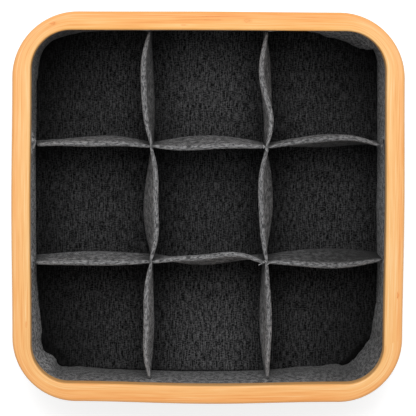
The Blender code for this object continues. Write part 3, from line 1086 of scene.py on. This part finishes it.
dividers = {
    "pitch": 0.0954,
    "shiftX": 0.0010,  # the grid is sewn in a little off the middle, towards the back right
    "shiftY": 0.0018,
    "foot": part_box("row_divider_back_left")[0].z,
    "top": 0.0730,
    "topSag": 0.0012,
    "pinchedHalf": 0.0006,
    "leastHalfShare": 0.8,  # of the pinched half, which the creases leave between the plies
    "hemHalf": 0.0019,
    "hemPower": 4,  # more keeps the hem's fullness to the top
    "swellPower": 0.8,  # less moves the swelling of the plies down
    "easedLean": 0.5,  # how much of the lean is eased in from foot to top, the rest being straight
    "seamLand": 0.0020,
    "endReach": 0.030,  # how far from a wall its pull is felt
    "creaseDepth": 0.00055,
    "creaseReach": (0.017, 0.045),
    "creaseRise": 1.15,  # more keeps the creases lower on a ply
    "plyLayers": 5,  # keep the two plies' creases apart
    "spanSteps": 66,
    "plyRows": 26,
    "foldRows": 10,
    "seedStep": 2.7,
}
dividerTone = {
    "fleckLength": 0.0036,
    "fleckRise": (0.0095, 0.0009),  # on the plies and on the fold
    "foldReach": 0.006,
    "mottle": 0.75,
    "mottleReach": (0.0060, 0.0085),
    "mottleLayer": 40,
    "cleft": 0.55,  # shade on the plies beside a crossing
    "cleftReach": 0.014,
}
# How each span hangs, in millimetres towards +X or +Y: bow, swing and crest of the top fold,
# bow and swing of the foot, swelling of the two plies, and the shift of the end at the wall
spanHangs = {
    "columnLeft": {
        "front": (-4.0, 0.0, -0.8, 1.0, 0.5, 1.5, 1.6, -1.1),
        "middle": (4.9, 0.3, 1.0, -5.5, -1.1, 2.1, 1.7, 0.0),
        "back": (-6.0, 0.4, -0.5, 1.3, 0.4, 1.0, 0.9, -2.0),
    },
    "columnRight": {
        "front": (1.8, -0.1, -0.2, -3.0, -0.2, 1.5, 1.5, 1.2),
        "middle": (-5.3, 0.7, -0.5, 5.5, 0.0, 1.7, 2.2, 0.0),
        "back": (-1.7, 3.6, 1.0, 3.1, -0.7, 3.5, 2.5, -1.0),
    },
    "rowFront": {
        "left": (-0.5, 0.3, 0.0, 2.0, 0.0, 1.5, 2.3, -1.2),
        "middle": (5.3, -1.9, 1.0, -4.9, -0.6, 2.9, 2.7, 0.0),
        "right": (-3.8, 0.8, 0.2, 3.5, 0.0, 2.0, 2.2, 2.4),
    },
    "rowBack": {
        "left": (1.8, -0.2, 0.5, 3.9, -1.3, 1.0, 0.9, 0.8),
        "middle": (-0.4, -1.0, -0.2, 5.3, 0.0, 1.0, 1.0, 0.0),
        "right": (6.2, -1.0, 0.4, -0.6, 0.0, 3.3, 4.5, 2.0),
    },
}
# Painted light and shade on some spans, as shares of the full tone: ply on the lower side,
# ply on the higher side and top fold, each at the start and at the end of the span
spanPaintedShading = {
    "columnLeft": {"front": (1.15, 1.15, 1.35, 1.75, 1.06, 1.06),
                   "back": (1.0, 1.0, 0.80, 0.70, 1.0, 0.98)},
    "columnRight": {"front": (1.9, 0.7, 1.0, 1.0, 0.95, 0.95),
                    "middle": (1.0, 1.0, 1.15, 1.0, 0.95, 0.95),
                    "back": (1.0, 1.0, 0.95, 0.75, 1.08, 0.98)},
    "rowFront": {"left": (1.0, 1.0, 0.9, 0.9, 1.0, 1.0), "right": (1.0, 1.0, 0.62, 0.02, 1.0, 0.7)},
    "rowBack": {"right": (0.60, 0.15, 0.9, 0.9, 0.84, 0.84)},
}
evenPaintedShading = (1.0, 1.0, 1.0, 1.0, 1.0, 1.0)


def sectionOutline(share, hang, place, seed):
    # The folded strip cut across, foot to fold to foot, and the height of its fold.
    topBow, topSwing, topCrest, footBow, footSwing, swellMinus, swellPlus, _ = (
        value * mm for value in hang)
    wave, swing, crest = (math.sin(count * math.pi * share) for count in (1, 2, 3))
    opening = math.sqrt(max(wave, 0))
    pinched, foot = dividers["pinchedHalf"], dividers["foot"]
    fold = pinched + (dividers["hemHalf"] - pinched) * opening
    top = dividers["top"] - dividers["topSag"] * wave
    foldFoot = top - fold
    topLean = topBow * wave + topSwing * swing + topCrest * crest
    footLean = footBow * wave + footSwing * swing
    rows, foldRows = dividers["plyRows"], dividers["foldRows"]

    def lean(height):
        rise = (height - foot) / (dividers["top"] - foot)
        ease = rise + (eased(rise) - rise) * dividers["easedLean"]
        return footLean + (topLean - footLean) * ease

    def plyPoint(row, direction, swelling):
        rise = row / rows
        height = foot + (foldFoot - foot) * rise
        half = pinched + swelling * wave * math.sin(math.pi * rise ** dividers["swellPower"])
        half += (fold - pinched) * rise ** dividers["hemPower"]
        soft = opening * math.sin(math.pi * min(1, rise * dividers["creaseRise"]))
        layer = seed + dividers["plyLayers"] * direction
        half += dividers["creaseDepth"] * soft * waveAt(place, height, dividers["creaseReach"], layer)
        return direction * max(half, pinched * dividers["leastHalfShare"]) + lean(height), height

    points = [plyPoint(row, -1, swellMinus) for row in range(rows + 1)]
    for row in range(1, foldRows):
        turn = math.pi * row / foldRows
        height = foldFoot + fold * math.sin(turn)
        points.append((-fold * math.cos(turn) + lean(height), height))
    points += [plyPoint(row, 1, swellPlus) for row in range(rows, -1, -1)]
    return points, top


def dividerSection(share, hang, paintedShading, place, toEnd, seed):
    # Each point of the outline: sideways, height, distance round, flecks passed, and its tone of painted
    # light and shade with mottle.
    points, top = sectionOutline(share, hang, place, seed)
    lowerPly, higherPly, foldTone = (paintedShading[pair] + (paintedShading[pair + 1] - paintedShading[pair]) * share
                                     for pair in (0, 2, 4))
    cleft = 1 - dividerTone["cleft"] * eased(max(0, 1 - toEnd / dividerTone["cleftReach"]))
    onPly, onTop = dividerTone["fleckRise"]
    travelled, flecks, section = 0.0, 0.0, []
    for index, (sideways, height) in enumerate(points):
        onFold = clamped((height - top) / dividerTone["foldReach"] + 1)
        if index:
            step = math.hypot(sideways - points[index - 1][0], height - points[index - 1][1])
            travelled += step
            flecks += step / (onPly * (1 - onFold) + onTop * onFold)
        layer = seed + dividerTone["mottleLayer"] + (sideways > 0)
        mottle = dividerTone["mottle"] * waveAt(place, height, dividerTone["mottleReach"], layer)
        tone = (lowerPly if index <= len(points) // 2 else higherPly) * cleft * (1 + mottle)
        section.append((sideways, height, travelled, flecks, tone + (foldTone - tone) * onFold))
    return section


def spanSections(spans, seed):
    land, steps = dividers["seamLand"], dividers["spanSteps"]
    sections = []
    for start, end, hang, paintedShading, wallAtStart in spans:
        shares = [(start, 0.0)]
        shares += [(start + land + (end - start - 2 * land) * step / steps, step / steps)
                   for step in range(steps + 1)]
        shares += [(end, 1.0)]
        if sections:
            shares = shares[1:]
        for place, share in shares:
            drift = hang[-1] * mm * ((1 - share) if wallAtStart else share)
            section = dividerSection(share, hang, paintedShading, place, min(place - start, end - place), seed)
            sections.append((place, [(sideways + drift, *rest) for sideways, *rest in section]))
    return sections


endWalls = {"x": ("left", "right"), "y": ("front", "back")}


def endShift(axis, offset, atStart, height):
    # How far a wall draws a divider's end in with it, at a height.
    side = endWalls[axis][0 if atStart else 1]
    across = Vector((1, 0, 0)) if axis == "y" else Vector((0, 1, 0))
    point = sideDirections(side)[0] * (halfReach[side] - lining["inset"]) + across * offset
    pull = liningPull(ringPlace(point, lining["inset"]), height)
    return pull if atStart else -pull


def makeDivider(name, axis, offset, spans, seed, material, node, wallEnds):
    sections = spanSections(spans, seed)
    columns, rows = len(sections) - 1, len(sections[0][1]) - 1
    first, last = sections[0][0], sections[-1][0]
    reach = dividers["endReach"]
    bm = bmesh.new()
    bmesh.ops.create_grid(bm, x_segments=columns, y_segments=rows, size=1)
    layer, fleckLayer = bm.loops.layers.uv.new("UVMap"), bm.loops.layers.uv.new("fleckMap")
    # the painted light and shade of each point, kept as an attribute
    paintedShadingLayer = bm.verts.layers.float.new("paintedShading")
    flatPlace, fleckPlace = {}, {}
    for vert in bm.verts:
        column = round((vert.co.x + 1) / 2 * columns)
        row = round((vert.co.y + 1) / 2 * rows)
        place = sections[column][0]
        sideways, height, travelled, flecks, vert[paintedShadingLayer] = sections[column][1][row]
        flatPlace[vert] = (place, travelled)
        fleckPlace[vert] = (place / dividerTone["fleckLength"], flecks)
        for atStart, toWall in ((True, place - first), (False, last - place)):
            if wallEnds[0 if atStart else 1] and toWall < reach:
                place += endShift(axis, offset, atStart, height) * (1 - toWall / reach)
        across = offset + sideways
        vert.co = (across, place, height) if axis == "y" else (place, across, height)
    for face in bm.faces:
        for loop in face.loops:
            loop[layer].uv = flatPlace[loop.vert]
            loop[fleckLayer].uv = fleckPlace[loop.vert]
    bmesh.ops.recalc_face_normals(bm, faces=bm.faces[:])
    piece = keepMesh(name, bm, material, [node], smoothAngle=70)
    giveThickness(piece, clothThickness)
    width = sections[0][1][-1][2]
    return piece, last - first, width


def makeDividers(material):
    half = dividers["pitch"] / 2
    offsets = {"columnLeft": dividers["shiftX"] - half, "columnRight": dividers["shiftX"] + half,
               "rowFront": dividers["shiftY"] - half, "rowBack": dividers["shiftY"] + half}
    seed = 1.0
    for column, node in (("columnLeft", "column_divider_left"), ("columnRight", "column_divider_right")):
        low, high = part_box(node)
        stops = [low.y, offsets["rowFront"], offsets["rowBack"], high.y]
        spans = [(start, end, spanHangs[column][span], spanPaintedShading[column].get(span, evenPaintedShading),
                  span == "front")
                 for start, end, span in zip(stops, stops[1:], ("front", "middle", "back"))]
        piece, length, width = makeDivider(column, "y", offsets[column], spans, seed, material, node,
                                           (True, True))
        seed += dividers["seedStep"]
    for row, nodeStart in (("rowFront", "row_divider_front"), ("rowBack", "row_divider_back")):
        for cell in ("left", "middle", "right"):
            node = f"{nodeStart}_{cell}"
            low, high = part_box(node)
            spans = [(low.x, high.x, spanHangs[row][cell], spanPaintedShading[row].get(cell, evenPaintedShading),
                      cell == "left")]
            piece, length, width = makeDivider(row + cell.capitalize(), "x", offsets[row], spans, seed,
                                               material, node, (cell == "left", cell == "right"))
            seed += dividers["seedStep"]
    print("dividers made")


# Thread: stitches along the seams, and loose tails where the dividers cross

stitches = {
    "pitch": 0.0036,
    "halfLength": 0.0012,
    "halfWidth": 0.00022,
    "roundSegments": 8,
    "longSegments": 4,
    "bottomSeamHeight": 0.0050,
    "lapInset": 0.0012,  # from the lap's edge
    "lapTopGap": 0.022,  # from the top of the cloth, which the rim covers
    "seamFoot": 0.010,
    "seamTop": 0.0690,
    "crossingAside": 0.0015,
    "throughHalf": 0.00105,
}
threadTails = {
    "radius": 0.00022,
    "roundSegments": 6,
    "longSegments": 8,
    "rise": {"left": 0.00008, "right": 0.00003},  # of each segment, by the way it curls
    # x, y, height, heading in degrees, radius of the curl in mm and how far round it goes in degrees
    "places": [
        (0.0452, 0.0510, 0.0730, -45, 2.4, -75), (0.0474, 0.0482, 0.0727, -95, 1.6, 80),
        (0.0470, -0.0466, 0.0722, 182, 9.0, 32), (0.0474, -0.0440, 0.0730, -100, 1.2, 120),
        (0.0478, -0.0474, 0.0726, -35, 2.0, 105),
    ],
}


def addStitch(bm, middle, along, across, halfAcross):
    sizes = (across * halfAcross, along.cross(across) * stitches["halfWidth"],
             along * stitches["halfLength"])
    matrix = Matrix.Translation(middle) @ Matrix(sizes).transposed().to_4x4()
    bmesh.ops.create_uvsphere(bm, u_segments=stitches["roundSegments"],
                              v_segments=stitches["longSegments"], radius=1, matrix=matrix)


def ringBase(distance, inset, height):
    # A plain ring's point at a distance round it.
    for side in sides:
        start, end = sideRun(side)
        if distance < end - start:
            return ringPoint(side, start + distance, inset, height)
        distance -= end - start
        if distance < cornerArc(side, inset):
            outward, along = sideDirections(side)
            radius = radiusAfter[side] - inset
            turn = distance / radius
            direction = outward * math.cos(turn) + along * math.sin(turn)
            return cornerCentre(side) + up * height + direction * radius
        distance -= cornerArc(side, inset)
    return ringPoint(sides[0], sideRun(sides[0])[0], inset, height)


def onOuterWall(base):
    place = ringPlace(base, outerWall["inset"])
    outward = place["outward"]
    pull = outerWallPull(place, base.z) - clothThickness / 2
    return base + place["move"] - outward * pull, outward


def keepThread(name, bm, material):
    bmesh.ops.recalc_face_normals(bm, faces=bm.faces[:])
    keepMesh(name, bm, material, smoothAngle=80)


def makeOuterSeams(material):
    pitch, inset, foot = stitches["pitch"], outerWall["inset"], stitches["seamFoot"]
    bm = bmesh.new()
    for index in range(int(outerLength / pitch)):
        middle, outward = onOuterWall(ringBase(index * pitch, inset, stitches["bottomSeamHeight"]))
        addStitch(bm, middle, up.cross(outward), outward, stitches["halfWidth"])
    rows = int((outerHigh.z - stitches["lapTopGap"] - foot) / pitch)
    for edge in (-1, 1):
        step = outerWall["lapStep"] + edge * (outerWall["lapWidth"] / 2 - stitches["lapInset"])
        for row in range(rows):
            middle, outward = onOuterWall(ringPoint("back", step, inset, foot + row * pitch))
            addStitch(bm, middle, up, outward, stitches["halfWidth"])
    keepThread("outerSeamThread", bm, material)


def makeCrossingSeams(material):
    pitch, foot, aside = stitches["pitch"], stitches["seamFoot"], stitches["crossingAside"]
    half = dividers["pitch"] / 2
    rows = int((stitches["seamTop"] - foot) / pitch)
    bm = bmesh.new()
    for x in (dividers["shiftX"] - half, dividers["shiftX"] + half):
        for y in (dividers["shiftY"] - half, dividers["shiftY"] + half):
            for seamX in (x - aside, x + aside):
                for row in range(rows + 1):
                    middle = Vector((seamX, y, foot + row * pitch))
                    addStitch(bm, middle, up, Vector((0, 1, 0)), stitches["throughHalf"])
    keepThread("crossingThread", bm, material)


def makeThreadTails(material):
    bm = bmesh.new()
    for x, y, height, heading, curl, sweep in threadTails["places"]:
        start = Vector((x, y, height))
        ahead = Vector((math.cos(math.radians(heading)), math.sin(math.radians(heading)), 0))
        turn = ahead.to_track_quat("Z", "Y").to_matrix().to_4x4()
        made = bmesh.ops.create_circle(bm, segments=threadTails["roundSegments"],
                                       radius=threadTails["radius"],
                                       matrix=Matrix.Translation(start) @ turn)
        loop = made["verts"] + list({edge for vert in made["verts"] for edge in vert.link_edges})
        centre = start + up.cross(ahead) * (curl * mm if sweep > 0 else -curl * mm)
        rise = threadTails["rise"]["left" if sweep > 0 else "right"]
        bmesh.ops.spin(bm, geom=loop, cent=centre, axis=up, dvec=up * rise,
                       angle=math.radians(sweep), steps=threadTails["longSegments"])
    keepThread("threadTails", bm, material)


def makeThread(materials):
    makeOuterSeams(materials["darkThread"])
    makeCrossingSeams(materials["darkThread"])
    makeThreadTails(materials["paleThread"])
    print("thread made")


# Boards and staples keep their own solids, hidden between the cloths

def dressHiddenPieces(materials):
    for name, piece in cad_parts.items():
        hidden = None
        if name.startswith("wall_board") or name == "base_board":
            hidden = materials["greyBoard"]
        elif name.startswith("rim_staple"):
            hidden = materials["stapleSteel"]
        if hidden:
            piece.data.materials.clear()
            piece.data.materials.append(hidden)
    print("boards and staples dressed")


# Stage: a pale floor that reads white and keeps a soft shadow, and plain studio light

stage = {
    "floorSize": 8.0,
    "floorColor": (0.60, 0.60, 0.60, 1),
    "floorRoughness": 0.9,
    "floorGlow": 0.66,  # only where the camera or a reflection looks at it
    "white": (1, 1, 1, 1),
    "worldStrength": 0.50,
    "lampPlace": (-0.02, 0.80, 1.92),
    "lampAim": (0, 0, 0.05),
    "lampSize": 1.0,
    "lampPower": 27.0,
}


def seenDirectly(tree):
    path = tree.nodes.new("ShaderNodeLightPath").outputs
    either = calc(tree, "MAXIMUM", path["Is Camera Ray"], path["Is Glossy Ray"])
    return calc(tree, "MAXIMUM", either, path["Is Transmission Ray"])


def makeStage():
    bm = bmesh.new()
    bmesh.ops.create_grid(bm, x_segments=1, y_segments=1, size=stage["floorSize"] / 2)
    mesh = bpy.data.meshes.new("studioFloor")
    bm.to_mesh(mesh)
    bm.free()
    floor = bpy.data.objects.new("studioFloor", mesh)
    bpy.context.scene.collection.objects.link(floor)
    material, tree, shader, _ = newMaterial("studioFloorPaint", stage["floorRoughness"], specular=0.0)
    shader.inputs["Base Color"].default_value = stage["floorColor"]
    shader.inputs["Emission Color"].default_value = stage["white"]
    glow = calc(tree, "MULTIPLY", seenDirectly(tree), stage["floorGlow"])
    tree.links.new(glow, shader.inputs["Emission Strength"])
    mesh.materials.append(material)

    world = bpy.data.worlds.new("studioWorld")
    world.use_nodes = True
    tree = world.node_tree
    background = tree.nodes["Background"]
    background.inputs["Color"].default_value = stage["white"]
    strength = fromTo(tree, seenDirectly(tree), 0.0, 1.0, stage["worldStrength"], 1.0, smooth=False)
    tree.links.new(strength, background.inputs["Strength"])
    bpy.context.scene.world = world

    lampData = bpy.data.lights.new("softbox", "AREA")
    lampData.shape = "SQUARE"
    lampData.size = stage["lampSize"]
    lampData.energy = stage["lampPower"]
    lamp = bpy.data.objects.new("softbox", lampData)
    lamp.location = stage["lampPlace"]
    aim = Vector(stage["lampAim"]) - Vector(stage["lampPlace"])
    lamp.rotation_euler = aim.to_track_quat("-Z", "Y").to_euler()
    bpy.context.scene.collection.objects.link(lamp)
    bpy.context.scene.view_settings.view_transform = "Standard"
    print("stage made")


def makeMaterials():
    yarn, grain, knot, fleck = makeYarnGroup(), makeGrainGroup(), makeKnotGroup(), makeFleckGroup()
    made = {}
    for name in cloths:
        made[f"{name}Cloth"] = clothMaterial(name, yarn)
    for ply, tones in bambooTones.items():
        made[f"{ply}Bamboo"] = bambooMaterial(ply, tones["seed"], grain, knot)
    for name in hiddenFinishes:
        made[name] = hiddenMaterial(name, fleck)
    for name in threadFinishes:
        made[name] = threadMaterial(name)
    print("materials made")
    return made


makeCamera()
makeStage()
materials = makeMaterials()
makeRim(materials)
makeLining(materials["liningCloth"])
makeFloorAndBottom(materials)
makeOuterWall(materials["heatherCloth"])
makeDividers(materials["dividerCloth"])
makeThread(materials)
dressHiddenPieces(materials)
